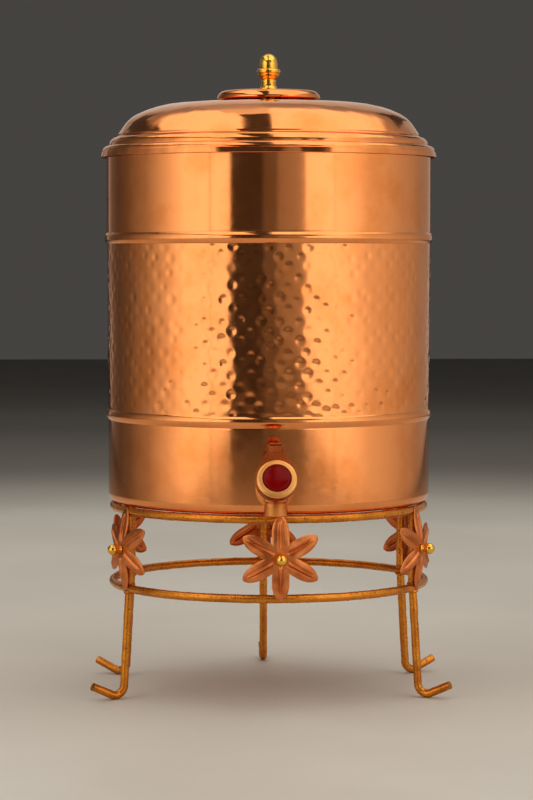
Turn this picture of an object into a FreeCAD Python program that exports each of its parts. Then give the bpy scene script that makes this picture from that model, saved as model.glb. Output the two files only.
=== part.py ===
import FreeCAD, Part
import math
import os
import Sketcher

# Copper water dispenser: a round tank with a front tap and a domed lift-off lid, standing on a rod stand.
# Millimetres. Z is up, the origin is on the tank's axis at the floor, and the tap faces -Y.

doc = FreeCAD.newDocument("water_dispenser")
sheet = doc.addObject("Spreadsheet::Sheet", "Sizes")

DRIVING = {
    # stand
    "rod_r": 3.0,
    "upper_ring_r": 114.6,
    "upper_ring_z": 136.0,
    "lower_ring_r": 115.4,
    "lower_ring_z": 80.0,
    "cope_gap": 1.0,
    "leg_splay": 4.3,
    "foot_bend_r": 7.0,
    "toe_run": 15.2,
    "toe_rise": 6.8,
    "leg_front_turn": 63.0,
    "leg_back_turn": 117.0,
    "front_flower_turn": 2.0,
    # flowers
    "flower_z": 108.8,
    "flower_back_r": 122.3,
    "flower_lean": 0.9,
    "flower_sheet": 0.8,
    "flower_dish_r": 97.0,
    "flower_disc_r": 13.5,
    "petal_root": 4.0,
    "petal_tip": 30.4,
    "petal_edge_r": 16.4,
    "petal_count": 6,
    "stud_ball_r": 4.0,
    "stud_neck_r": 2.0,
    "stud_ball_at": 128.2,
    # tank
    "sheet_t": 1.0,
    "base_z": 138.9,
    "base_lip_r": 106.0,
    "base_corner_r": 7.0,
    "base_disc_r": 110.8,
    "low_band_r": 118.7,
    "body_low_r": 119.0,
    "body_top_r": 119.6,
    "mouth_r": 120.0,
    "mouth_z": 398.6,
    "low_bead_z": 204.3,
    "top_bead_z": 333.0,
    "bead_half": 4.0,
    "bead_arc_r": 5.5,
    "mouth_ring_t": 2.8,
    "mouth_ring_tall": 6.0,
    # tap
    "tap_z": 157.5,
    "tap_hole_r": 8.2,
    "spout_reach": 137.7,
    "spindle_tilt": 27.0,
    "washer_t": 2.0,
    "inner_washer_t": 3.0,
    "washer_r": 12.0,
    "flange_r": 13.5,
    "flange_t": 2.5,
    "shank_r": 7.95,
    "shank_end": 98.0,
    "shank_fit_r": 8.0,
    "back_nut_flat": 11.0,
    "back_nut_t": 6.0,
    "neck_r": 7.8,
    "tap_ball_r": 9.2,
    "inlet_bore_r": 4.5,
    "seat_r": 9.5,
    "seat_top": 10.0,
    "chamber_r": 6.0,
    "chamber_floor": 5.6,
    "collar_r": 8.6,
    "nozzle_r": 8.2,
    "nozzle_top_z": 150.4,
    "nozzle_end_z": 140.7,
    "stub_r": 6.8,
    "stub_end_z": 146.7,
    "outlet_bore_r": 4.0,
    "outlet_r": 5.2,
    "bonnet_flat": 9.6,
    "bonnet_top": 16.0,
    # handle
    "plug_r": 5.95,
    "plug_top": 9.8,
    "plug_port_r": 3.4,
    "seal_at": 7.0,
    "seal_ring_r": 5.15,
    "seal_wire_r": 0.7,
    "spindle_r": 3.5,
    "spindle_top": 20.5,
    "lever_back": 17.0,
    "lever_front": 22.8,
    "lever_disc_r": 14.5,
    "lever_tab_half": 6.2,
    "lever_tab_at": 20.5,
    "lever_tab_t": 4.2,
    "boss_r": 13.3,
    "boss_top": 25.3,
    "recess_r": 9.8,
    "recess_floor": 23.0,
    "index_r": 9.7,
    "screw_r": 2.0,
    "screw_head_r": 3.6,
    "screw_head_t": 1.2,
    # lid
    "lid_rim_z": 392.3,
    "lid_rim_r": 124.1,
    "lid_top_z": 434.2,
    "lid_plate_z": 441.5,
    "lid_plate_r": 38.0,
    "skirt_r": 114.4,
    "skirt_bottom_z": 385.0,
    "finial_top_z": 468.7,
    "finial_collar_r": 8.55,
    "stud_r": 3.0,
    "stud_fit_r": 3.05,
    "stud_hole_r": 3.2,
    "stud_bottom_z": 424.5,
    "stud_top_z": 451.5,
    "lid_nut_flat": 5.0,
    "lid_nut_t": 5.0,
}
for row, (alias, number) in enumerate(DRIVING.items(), start=1):
    sheet.set("A{}".format(row), alias)
    sheet.set("B{}".format(row), str(number))
    sheet.setAlias("B{}".format(row), alias)
doc.recompute()


class Size:
    """A number together with the expression that keeps it bound to the sheet."""

    def __init__(self, number, text):
        self.number = number
        self.text = text

    def joined(self, sign, other, number):
        other_text = other.text if isinstance(other, Size) else repr(float(other))
        return Size(number, "({} {} {})".format(self.text, sign, other_text))

    def __add__(self, other):
        return self.joined("+", other, self.number + plain(other))

    def __sub__(self, other):
        return self.joined("-", other, self.number - plain(other))

    def __mul__(self, other):
        return self.joined("*", other, self.number * plain(other))

    def __neg__(self):
        return Size(-self.number, "(0 - {})".format(self.text))


def plain(value):
    return value.number if isinstance(value, Size) else float(value)


def driven(alias):
    return Size(float(sheet.get(alias)), "Sizes." + alias)


def bind(obj, prop, value):
    if isinstance(value, Size):
        obj.setExpression(prop, value.text)
    else:
        setattr(obj, prop, value)


S = {alias: driven(alias) for alias in DRIVING}
NOUGHT = Size(0.0, "0")
tilt = "Sizes.spindle_tilt * 1 deg"
tilt_cos = Size(math.cos(math.radians(S["spindle_tilt"].number)), "cos({})".format(tilt))
tilt_sin = Size(math.sin(math.radians(S["spindle_tilt"].number)), "sin({})".format(tilt))
X_AXIS = FreeCAD.Vector(1, 0, 0)
Z_AXIS = FreeCAD.Vector(0, 0, 1)
nodes = []


def node(obj, name):
    """Give a finished sub-part its name and put it on the list of sub-parts to export."""
    obj.Label = name
    nodes.append(obj)
    return obj


# ---- frames: where a local Z axis starts and which way it points ----

def put(obj, x, y, z, axis=Z_AXIS, angle=0.0):
    turn = FreeCAD.Rotation(axis, plain(angle))
    obj.Placement = FreeCAD.Placement(FreeCAD.Vector(plain(x), plain(y), plain(z)), turn)
    for prop, value in (("x", x), ("y", y), ("z", z)):
        if isinstance(value, Size):
            obj.setExpression("Placement.Base." + prop, value.text)
    if isinstance(angle, Size):
        obj.setExpression("Placement.Rotation.Angle", angle.text)
    return obj


def on_axis(obj, start=NOUGHT):
    """Local Z up the tank's axis."""
    return put(obj, NOUGHT, NOUGHT, start)


def on_inlet(obj, start=NOUGHT):
    """Local Z out of the tank wall, along the tap's shank. Heights count from the tank's axis."""
    return put(obj, NOUGHT, -start, S["tap_z"], X_AXIS, 90.0)


def on_spindle(obj, start=NOUGHT):
    """Local Z up the tap's tilted spindle, counted from where it meets the spout's axis."""
    y = -S["spout_reach"] - start * tilt_cos
    z = S["tap_z"] + start * tilt_sin
    return put(obj, NOUGHT, y, z, X_AXIS, Size(63.0, "(90 - Sizes.spindle_tilt)"))


def on_spout(obj, start=NOUGHT):
    """Local Z up the spout. Heights count from the floor."""
    return put(obj, NOUGHT, -S["spout_reach"], start)


def on_radius(obj, azimuth, radius=NOUGHT, height=NOUGHT):
    """Local X outwards at an azimuth counted from the tap, positive to the right. Local Z up."""
    turn = azimuth - 90.0
    number = math.radians(turn.number)
    x = Size(radius.number * math.cos(number), "({} * cos({} * 1 deg))".format(radius.text, turn.text))
    y = Size(radius.number * math.sin(number), "({} * sin({} * 1 deg))".format(radius.text, turn.text))
    return put(obj, x, y, height, Z_AXIS, turn)


# ---- solids ----

def cylinder(name, radius, tall):
    obj = doc.addObject("Part::Cylinder", name)
    bind(obj, "Radius", radius)
    bind(obj, "Height", tall)
    return obj


def sphere(name, radius):
    obj = doc.addObject("Part::Sphere", name)
    bind(obj, "Radius", radius)
    return obj


def torus(name, ring_r, wire_r):
    obj = doc.addObject("Part::Torus", name)
    bind(obj, "Radius1", ring_r)
    bind(obj, "Radius2", wire_r)
    return obj


def box(name, wide, deep, tall):
    obj = doc.addObject("Part::Box", name)
    bind(obj, "Length", wide)
    bind(obj, "Width", deep)
    bind(obj, "Height", tall)
    return obj


def hexagon(name, half_flat, tall):
    prism = doc.addObject("Part::Prism", name)
    prism.Polygon = 6
    bind(prism, "Circumradius", half_flat * (2.0 / math.sqrt(3.0)))
    bind(prism, "Height", tall)
    return prism


def fuse(name, *parts):
    obj = doc.addObject("Part::MultiFuse", name)
    obj.Shapes = list(parts)
    return obj


def cut(name, base, *tools):
    obj = base
    for number, tool in enumerate(tools):
        step = doc.addObject("Part::Cut", "{}_{}".format(name, number))
        step.Base = obj
        step.Tool = tool
        obj = step
    return obj


def common(name, first, second):
    obj = doc.addObject("Part::Common", name)
    obj.Base = first
    obj.Tool = second
    return obj


# ---- sketches ----

def plane(body, role):
    return next(item for item in body.Origin.OriginFeatures if item.Role == role)


def new_sketch(body, name, role):
    sketch = body.newObject("Sketcher::SketchObject", name)
    sketch.AttachmentSupport = [(plane(body, role), "")]
    sketch.MapMode = "FlatFace"
    return sketch


def arc_between(start, end, radius, side):
    """An arc from start to end, with its centre on the left (side 1) or right (side -1) of the way."""
    chord = end - start
    middle = (start + end) * 0.5
    rise = math.sqrt(max(radius ** 2 - (chord.Length / 2) ** 2, 0.0))
    left = FreeCAD.Vector(-chord.y, chord.x, 0).normalize()
    centre = middle + left * rise * side
    first, last = (start, end) if side > 0 else (end, start)
    angles = [math.atan2(p.y - centre.y, p.x - centre.x) for p in (first, last)]
    if angles[1] < angles[0]:
        angles[1] += 2 * math.pi
    return Part.ArcOfCircle(Part.Circle(centre, Z_AXIS, radius), angles[0], angles[1])


def fix_length(sketch, kind, size, *where):
    index = sketch.addConstraint(Sketcher.Constraint(kind, *where, size.number))
    sketch.setExpression("Constraints[{}]".format(index), size.text)


def draw_outline(sketch, outline):
    """Draw a closed outline. A corner is (across, up), or (across, up, arc radius, side)
    where an arc leads to it from the corner before."""
    count = len(outline)
    points = [FreeCAD.Vector(plain(corner[0]), plain(corner[1]), 0) for corner in outline]
    ends = []
    for index in range(count):
        after = outline[(index + 1) % count]
        start, end = points[index], points[(index + 1) % count]
        if len(after) == 2:
            sketch.addGeometry(Part.LineSegment(start, end), False)
            ends.append((1, 2))
        else:
            sketch.addGeometry(arc_between(start, end, plain(after[2]), after[3]), False)
            ends.append((1, 2) if after[3] > 0 else (2, 1))
    for index in range(count):
        after = (index + 1) % count
        sketch.addConstraint(Sketcher.Constraint("Coincident", index, ends[index][1], after, ends[after][0]))
    for index, corner in enumerate(outline):
        first = ends[index][0]
        for kind, size, line in (("DistanceX", corner[0], -2), ("DistanceY", corner[1], -1)):
            if size.number == 0.0:
                sketch.addConstraint(Sketcher.Constraint("PointOnObject", index, first, line))
            else:
                fix_length(sketch, kind, size, -1, 1, index, first)
        arrives = outline[(index + 1) % count]
        if len(arrives) == 4:
            fix_length(sketch, "Radius", arrives[2], index)


def turned(name, outline):
    """A solid turned about its local Z axis from an outline of (radius, height) corners."""
    body = doc.addObject("PartDesign::Body", name)
    sketch = new_sketch(body, name + "_outline", "XZ_Plane")
    draw_outline(sketch, outline)
    spun = body.newObject("PartDesign::Revolution", name + "_turned")
    spun.Profile = sketch
    spun.ReferenceAxis = (sketch, ["V_Axis"])
    spun.Angle = 360.0
    return body


def mm(number):
    return Size(float(number), repr(float(number)))


# ==== stand ====

upper_ring = node(on_axis(torus("UpperRing", S["upper_ring_r"], S["rod_r"]), S["upper_ring_z"]), "upper_ring")
lower_ring = node(on_axis(torus("LowerRing", S["lower_ring_r"], S["rod_r"]), S["lower_ring_z"]), "lower_ring")


def leg(name, azimuth):
    """A rod that hangs from the lower ring, splays a little, and bends outwards into a raised toe."""
    body = doc.addObject("PartDesign::Body", "bent_" + name)
    top = S["lower_ring_z"] - S["cope_gap"]
    section = new_sketch(body, name + "_section", "XY_Plane")
    section.AttachmentOffset = FreeCAD.Placement(FreeCAD.Vector(0, 0, top.number), FreeCAD.Rotation())
    section.setExpression("AttachmentOffset.Base.z", top.text)
    middle = FreeCAD.Vector(S["lower_ring_r"].number, 0, 0)
    section.addGeometry(Part.Circle(middle, Z_AXIS, S["rod_r"].number), False)
    fix_length(section, "Radius", S["rod_r"], 0)
    fix_length(section, "DistanceX", S["lower_ring_r"], -1, 1, 0, 3)
    section.addConstraint(Sketcher.Constraint("PointOnObject", 0, 3, -1))

    path = new_sketch(body, name + "_path", "XZ_Plane")
    bend = S["foot_bend_r"].number
    bend_z = S["rod_r"].number + bend
    shaft = math.atan2(S["leg_splay"].number, top.number - bend_z)
    toe = math.atan2(S["toe_rise"].number, S["toe_run"].number)
    start = FreeCAD.Vector(S["lower_ring_r"].number, top.number, 0)
    ankle = start + FreeCAD.Vector(S["leg_splay"].number, bend_z - bend * math.sin(shaft) - top.number, 0)
    centre = ankle + FreeCAD.Vector(bend * math.cos(shaft), bend * math.sin(shaft), 0)
    sole = centre + FreeCAD.Vector(bend * math.sin(toe), -bend * math.cos(toe), 0)
    tip = sole + FreeCAD.Vector(S["toe_run"].number, S["toe_rise"].number, 0)
    path.addGeometry(Part.LineSegment(start, ankle), False)
    path.addGeometry(arc_between(ankle, sole, bend, 1), False)
    path.addGeometry(Part.LineSegment(sole, tip), False)
    path.addConstraint(Sketcher.Constraint("Tangent", 0, 2, 1, 1))
    path.addConstraint(Sketcher.Constraint("Tangent", 1, 2, 2, 1))
    fix_length(path, "DistanceX", S["lower_ring_r"], -1, 1, 0, 1)
    fix_length(path, "DistanceY", top, -1, 1, 0, 1)
    fix_length(path, "DistanceX", S["leg_splay"], 0, 1, 0, 2)
    fix_length(path, "Radius", S["foot_bend_r"], 1)
    fix_length(path, "DistanceY", S["rod_r"] + S["foot_bend_r"], -1, 1, 1, 3)
    fix_length(path, "DistanceX", S["toe_run"], 2, 1, 2, 2)
    fix_length(path, "DistanceY", S["toe_rise"], 2, 1, 2, 2)

    pipe = body.newObject("PartDesign::AdditivePipe", name + "_rod")
    pipe.Profile = section
    pipe.Spine = (path, ["Edge1", "Edge2", "Edge3"])
    on_radius(body, azimuth)
    return node(cut(name + "_coped", body, lower_ring), name)


def post(name, azimuth):
    """A short rod between the two rings, coped to both."""
    tall = S["upper_ring_z"] - S["lower_ring_z"] - S["cope_gap"] * 2.0
    rod = cylinder("plain_" + name, S["rod_r"], tall)
    on_radius(rod, azimuth, post_r, S["lower_ring_z"] + S["cope_gap"])
    return node(cut(name + "_coped", rod, lower_ring, upper_ring), name)


# ==== flowers ====

def flower_blank():
    """Six petals pressed from one sheet into a shallow dish. Local Z points out of its face."""
    body = doc.addObject("PartDesign::Body", "FlowerOutline")
    disc = new_sketch(body, "FlowerDisc", "XY_Plane")
    disc.addGeometry(Part.Circle(FreeCAD.Vector(), Z_AXIS, S["flower_disc_r"].number), False)
    disc.addConstraint(Sketcher.Constraint("Coincident", 0, 3, -1, 1))
    fix_length(disc, "Radius", S["flower_disc_r"], 0)
    centre = body.newObject("PartDesign::Pad", "FlowerDiscPad")
    centre.Profile = disc
    centre.Length = dish_room
    petal = new_sketch(body, "Petal", "XY_Plane")
    edge = S["petal_edge_r"]
    draw_outline(petal, [(NOUGHT, S["petal_root"], edge, 1), (NOUGHT, S["petal_tip"], edge, 1)])
    blade = body.newObject("PartDesign::Pad", "PetalPad")
    blade.Profile = petal
    blade.Length = dish_room
    doc.recompute()
    around = body.newObject("PartDesign::PolarPattern", "Petals")
    around.Originals = [blade]
    around.Axis = (petal, ["N_Axis"])
    around.Angle = 360.0
    bind(around, "Occurrences", S["petal_count"])
    body.Tip = around
    back = dish_room - S["flower_dish_r"].number
    outside = put(sphere("DishOuter", S["flower_dish_r"] + S["flower_sheet"]), 0, 0, back)
    inside = put(sphere("DishInner", S["flower_dish_r"]), 0, 0, back)
    dish = cut("Dish", outside, inside)
    pressed = common("FlowerPressed", body, dish)
    hole = cylinder("FlowerHole", S["stud_neck_r"] + 0.1, mm(dish_room * 2.0))
    return cut("FlowerBlank", pressed, hole)


def flower(name, azimuth):
    """A placed copy of the pressed flower, standing off the rings on its petal tips."""
    obj = doc.addObject("Part::Compound", name)
    obj.Links = [blank]
    around = FreeCAD.Placement(FreeCAD.Vector(), FreeCAD.Rotation(Z_AXIS, azimuth.number))
    back = FreeCAD.Vector(0, -S["flower_back_r"].number, S["flower_z"].number)
    upright = FreeCAD.Placement(back, FreeCAD.Rotation(X_AXIS, 90.0 - S["flower_lean"].number))
    sunk = FreeCAD.Placement(FreeCAD.Vector(0, 0, -dish_room), FreeCAD.Rotation())
    obj.Placement = around * upright * sunk
    return node(obj, name)


def ball_stud(name, azimuth, its_post):
    """A brass ball on a neck that pins the flower to the post behind it."""
    ball = on_radius(sphere(name + "_ball", S["stud_ball_r"]), azimuth, S["stud_ball_at"], S["flower_z"])
    neck = cylinder(name + "_neck", S["stud_neck_r"], S["stud_ball_at"] - post_r)
    around = FreeCAD.Placement(FreeCAD.Vector(), FreeCAD.Rotation(Z_AXIS, azimuth.number))
    root = FreeCAD.Vector(0, -post_r.number, S["flower_z"].number)
    neck.Placement = around * FreeCAD.Placement(root, FreeCAD.Rotation(X_AXIS, 90.0))
    whole = fuse(name + "_whole", ball, neck)
    return node(cut(name + "_coped", whole, its_post), name)


post_r = (S["upper_ring_r"] + S["lower_ring_r"]) * 0.5
dish_room = 12.0
blank = flower_blank()
PLACES = {
    "front_left": -S["leg_front_turn"],
    "front_right": S["leg_front_turn"],
    "back_left": -S["leg_back_turn"],
    "back_right": S["leg_back_turn"],
    "back_centre": mm(180.0),
    "front_centre": S["front_flower_turn"],
}
for place, azimuth in PLACES.items():
    if place != "front_centre":
        leg("leg_" + place, azimuth)
    its_post = post("post_" + place, azimuth)
    flower("flower_" + place, azimuth)
    ball_stud("flower_ball_" + place, azimuth, its_post)

# ==== tank ====

wall = S["sheet_t"]
corner = S["base_corner_r"]
half = S["bead_half"]
wall_outline = [
    (S["base_lip_r"], S["base_z"]),
    (S["low_band_r"] - corner, S["base_z"]),
    (S["low_band_r"], S["base_z"] + corner, corner, 1),
    (S["low_band_r"], S["low_bead_z"] - half),
    (S["body_low_r"], S["low_bead_z"] + half, S["bead_arc_r"], 1),
    (S["body_top_r"], S["top_bead_z"] - half),
    (S["mouth_r"], S["top_bead_z"] + half, S["bead_arc_r"], 1),
    (S["mouth_r"], S["mouth_z"]),
    (S["mouth_r"] - wall, S["mouth_z"]),
    (S["mouth_r"] - wall, S["top_bead_z"] + half),
    (S["body_top_r"] - wall, S["top_bead_z"] - half, S["bead_arc_r"], -1),
    (S["body_low_r"] - wall, S["low_bead_z"] + half),
    (S["low_band_r"] - wall, S["low_bead_z"] - half, S["bead_arc_r"], -1),
    (S["low_band_r"] - wall, S["base_z"] + corner),
    (S["low_band_r"] - corner, S["base_z"] + wall, corner - wall, -1),
    (S["base_lip_r"], S["base_z"] + wall),
]
tap_hole = on_inlet(cylinder("TapHole", S["tap_hole_r"], S["mouth_r"]), S["mouth_r"] * 0.5)
node(cut("TankWallDrilled", turned("TankWall", wall_outline), tap_hole), "tank_wall")

node(on_axis(cylinder("TankBase", S["base_disc_r"], wall), S["base_z"] + wall), "tank_base")

ring_inner = S["mouth_r"] - wall - S["mouth_ring_t"]
ring_nose = S["mouth_ring_t"] * 0.5
ring_outline = [
    (ring_inner + ring_nose, S["mouth_z"]),
    (ring_inner, S["mouth_z"] - ring_nose, ring_nose, 1),
    (ring_inner, S["mouth_z"] - S["mouth_ring_tall"] + ring_nose),
    (ring_inner + ring_nose, S["mouth_z"] - S["mouth_ring_tall"], ring_nose, 1),
    (S["mouth_r"] - wall, S["mouth_z"] - S["mouth_ring_tall"]),
    (S["mouth_r"] - wall, S["mouth_z"]),
]
node(turned("MouthRing", ring_outline), "mouth_ring")

# ==== tap, fixed parts ====

tall_core = S["base_z"]
wall_outside = cylinder("WallOutside", S["low_band_r"], tall_core)
on_axis(wall_outside, S["base_z"])
wall_inside = cylinder("WallInside", S["low_band_r"] - wall, tall_core)
on_axis(wall_inside, S["base_z"])

flange_back = S["low_band_r"] + S["washer_t"]
flange_front = flange_back + S["flange_t"]


def sleeve(name, inner_r, outer_r, low, high):
    return turned(name, [(inner_r, low), (outer_r, low), (outer_r, high), (inner_r, high)])


outer_gasket = on_inlet(sleeve("OuterGasket", S["shank_fit_r"], S["washer_r"],
                               S["low_band_r"] - S["washer_t"], flange_back))
node(cut("OuterGasketShaped", outer_gasket, wall_outside), "outer_washer")

nut_back = S["low_band_r"] - wall - S["inner_washer_t"]
inner_gasket = on_inlet(sleeve("InnerGasket", S["shank_fit_r"], S["washer_r"], nut_back, S["low_band_r"]))
node(common("InnerGasketShaped", inner_gasket, wall_inside), "inner_washer")

flange_outline = [
    (S["shank_fit_r"], flange_back),
    (S["flange_r"], flange_back),
    (S["flange_r"], flange_back + S["flange_t"] * 0.4),
    (S["flange_r"] - 3.5, flange_front, mm(4.5), 1),
    (S["shank_fit_r"], flange_front),
]
node(on_inlet(turned("WallFlange", flange_outline)), "wall_flange")

nut_blank = on_inlet(hexagon("BackNutBlank", S["back_nut_flat"], S["back_nut_t"]), nut_back - S["back_nut_t"])
nut_bore = on_inlet(cylinder("BackNutBore", S["shank_fit_r"], S["back_nut_t"] * 3.0),
                    nut_back - S["back_nut_t"] * 2.0)
node(cut("BackNut", nut_blank, nut_bore), "back_nut")

shank = on_inlet(cylinder("Shank", S["shank_r"], S["spout_reach"] - S["shank_end"] - 4.0), S["shank_end"])
shoulder = on_inlet(cylinder("Shoulder", S["seat_r"], mm(3.0)), flange_front)
tap_ball = on_inlet(sphere("TapBall", S["tap_ball_r"]), S["spout_reach"])
seat = on_spindle(cylinder("Seat", S["seat_r"], S["seat_top"] - 2.0), mm(2.0))
collar = on_spout(cylinder("Collar", S["collar_r"], S["tap_z"] - S["nozzle_top_z"]), S["nozzle_top_z"])
stub = on_spout(cylinder("SpoutStub", S["stub_r"], S["tap_z"] - S["stub_end_z"]), S["stub_end_z"])
casting = fuse("TapCasting", shank, shoulder, tap_ball, seat, collar, stub)
nozzle_room = on_spout(sleeve("NozzleRoom", S["stub_r"], S["nozzle_r"] + 0.1, S["nozzle_end_z"], S["nozzle_top_z"]))
inlet_bore = on_inlet(cylinder("InletBore", S["inlet_bore_r"], S["spout_reach"] - S["shank_end"] + 2.0),
                      S["shank_end"] - 2.0)
chamber = on_spindle(cylinder("Chamber", S["chamber_r"], S["seat_top"] + S["chamber_floor"] + 1.0),
                     -S["chamber_floor"])
outlet_bore = on_spout(cylinder("OutletBore", S["outlet_bore_r"], S["tap_z"] - S["nozzle_end_z"]), S["nozzle_end_z"])
node(cut("TapBody", casting, nozzle_room, inlet_bore, chamber, outlet_bore), "tap_body")

nozzle_outline = [
    (S["outlet_r"], S["nozzle_end_z"]),
    (S["nozzle_r"] - 0.6, S["nozzle_end_z"]),
    (S["nozzle_r"], S["nozzle_end_z"] + 0.6, mm(0.6), 1),
    (S["nozzle_r"], S["nozzle_top_z"]),
    (S["stub_r"], S["nozzle_top_z"]),
    (S["stub_r"], S["stub_end_z"]),
    (S["outlet_r"], S["stub_end_z"]),
]
node(on_spout(turned("SpoutNozzle", nozzle_outline)), "spout_nozzle")

bonnet_blank = on_spindle(hexagon("BonnetBlank", S["bonnet_flat"], S["bonnet_top"] - S["seat_top"]), S["seat_top"])
bonnet_bore = on_spindle(cylinder("BonnetBore", S["spindle_r"] + 0.06, S["bonnet_top"]), S["seat_top"] - 2.0)
node(cut("BonnetNut", bonnet_blank, bonnet_bore), "bonnet_nut")

# ==== tap, parts that turn with the handle ====

groove_r = S["seal_ring_r"] - S["seal_wire_r"]
plug_outline = [
    (NOUGHT, mm(0.1) - S["chamber_floor"]),
    (S["plug_r"], mm(0.1) - S["chamber_floor"]),
    (S["plug_r"], S["seal_at"] - 0.9),
    (groove_r, S["seal_at"] - 0.9),
    (groove_r, S["seal_at"] + 0.9),
    (S["plug_r"], S["seal_at"] + 0.9),
    (S["plug_r"], S["plug_top"]),
    (NOUGHT, S["plug_top"]),
]
plug_blank = on_spindle(turned("ValvePlug", plug_outline))
plug_inlet = on_spindle(cylinder("PlugInlet", S["plug_port_r"], S["chamber_floor"] + 3.0),
                        -S["chamber_floor"] - 2.0)
plug_port = cylinder("PlugPort", S["plug_port_r"], S["plug_r"] * 2.0)
put(plug_port, NOUGHT, -S["spout_reach"], S["tap_z"], FreeCAD.Vector(0, 1, 0), -90.0)
node(cut("ValvePlugPorted", plug_blank, plug_inlet, plug_port), "valve_plug")

node(on_spindle(torus("PlugSeal", S["seal_ring_r"], S["seal_wire_r"]), S["seal_at"]), "plug_seal")

spindle_rod = on_spindle(cylinder("SpindleRod", S["spindle_r"], S["spindle_top"] - S["plug_top"]), S["plug_top"])
spindle_tap = on_spindle(cylinder("SpindleTap", S["screw_r"] + 0.05, S["spindle_top"]), mm(13.5))
node(cut("Spindle", spindle_rod, spindle_tap), "spindle")

lever_disc = on_spindle(cylinder("LeverDisc", S["lever_disc_r"], S["lever_front"] - S["lever_back"]),
                        S["lever_back"])
lever_boss = on_spindle(cylinder("LeverBoss", S["boss_r"], S["boss_top"] - S["lever_back"]), S["lever_back"])
tab_start = S["lever_front"] - S["lever_tab_t"]


def along_lever(obj, across, up, start):
    """Place in the handle's own plane: across it, up the lever, and out along the spindle."""
    y = -S["spout_reach"] - start * tilt_cos + up * tilt_sin
    z = S["tap_z"] + start * tilt_sin + up * tilt_cos
    return put(obj, across, y, z, X_AXIS, Size(63.0, "(90 - Sizes.spindle_tilt)"))


tab_bar = along_lever(box("LeverTab", S["lever_tab_half"] * 2.0, S["lever_tab_at"], S["lever_tab_t"]),
                      -S["lever_tab_half"], NOUGHT, tab_start)
tab_end = along_lever(cylinder("LeverTabEnd", S["lever_tab_half"], S["lever_tab_t"]),
                      NOUGHT, S["lever_tab_at"], tab_start)
lever_blank = fuse("LeverBlank", lever_disc, lever_boss, tab_bar, tab_end)
lever_socket = on_spindle(cylinder("LeverSocket", S["spindle_r"] + 0.05, S["spindle_top"] - S["lever_back"] + 2.0),
                          S["lever_back"] - 2.0)
lever_screw_hole = on_spindle(cylinder("LeverScrewHole", S["screw_r"] + 0.05, S["boss_top"]), S["lever_back"])
lever_recess = on_spindle(cylinder("LeverRecess", S["recess_r"], S["boss_top"]), S["recess_floor"])
node(cut("HandleLever", lever_blank, lever_socket, lever_screw_hole, lever_recess), "handle_lever")

screw_outline = [
    (NOUGHT, mm(14.0)),
    (S["screw_r"], mm(14.0)),
    (S["screw_r"], S["recess_floor"]),
    (S["screw_head_r"], S["recess_floor"]),
    (S["screw_head_r"], S["recess_floor"] + S["screw_head_t"] * 0.4),
    (S["screw_head_r"] - 1.0, S["recess_floor"] + S["screw_head_t"]),
    (NOUGHT, S["recess_floor"] + S["screw_head_t"]),
]
node(on_spindle(turned("HandleScrew", screw_outline)), "handle_screw")

index_back = S["recess_floor"] + S["screw_head_t"] + 0.1
index_outline = [
    (NOUGHT, index_back),
    (S["index_r"], index_back),
    (S["index_r"], index_back + 1.0),
    (mm(3.0), index_back + 2.1, mm(40.0), 1),
    (NOUGHT, index_back + 2.1),
]
node(on_spindle(turned("IndexDisc", index_outline)), "index_disc")

# ==== lid ====

top = S["lid_top_z"]
rim = S["lid_rim_z"]
hole = S["stud_hole_r"]
lid_outside = [
    (hole, top),
    (mm(70.0), top - 2.7, mm(900.0), -1),
    (mm(97.0), top - 10.2, mm(73.0), -1),
    (mm(105.6), top - 17.2, mm(25.5), -1),
    (mm(111.6), top - 26.0),
    (mm(112.2), rim + 14.7),
    (mm(117.9), rim + 8.7, mm(6.5), -1),
    (mm(118.8), rim + 8.2),
    (mm(122.9), rim + 4.4, mm(4.6), -1),
    (S["lid_rim_r"], rim),
]
lid_inside = [
    (S["lid_rim_r"] - wall, rim),
    (mm(121.9), rim + 4.3),
    (mm(118.3), rim + 7.2, mm(3.9), 1),
    (mm(117.0), rim + 8.1),
    (mm(111.4), rim + 13.9, mm(5.7), 1),
    (mm(110.8), rim + 15.3),
    (mm(104.7), top - 17.8),
    (mm(96.5), top - 11.1, mm(24.5), 1),
    (mm(69.9), top - 3.7, mm(72.0), 1),
    (hole, top - wall, mm(899.0), 1),
]
node(turned("LidDome", lid_outside + lid_inside), "lid_dome")

skirt_blank = sleeve("SkirtBlank", S["skirt_r"] - wall, S["skirt_r"], S["skirt_bottom_z"], rim + 25.0)
under_lid = turned("UnderLid", [(NOUGHT, S["skirt_bottom_z"]), (S["lid_rim_r"] - wall, S["skirt_bottom_z"])]
                   + lid_inside[:-1] + [(NOUGHT, top - 3.7)])
node(common("LidSkirt", skirt_blank, under_lid), "lid_skirt")

spacer_outline = [
    (hole, top),
    (mm(7.0), top),
    (mm(7.0), S["lid_plate_z"] - wall),
    (hole, S["lid_plate_z"] - wall),
]
node(turned("LidSpacer", spacer_outline), "lid_spacer")

plate_r = S["lid_plate_r"]
plate_z = S["lid_plate_z"]
plate_outline = [
    (hole, plate_z - wall),
    (plate_r - 6.6, plate_z - wall),
    (plate_r - 1.0, plate_z - 5.8, mm(8.0), -1),
    (plate_r, plate_z - 5.8),
    (plate_r - 6.4, plate_z, mm(9.0), 1),
    (hole, plate_z),
]
node(turned("LidPlate", plate_outline), "lid_plate")

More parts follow.
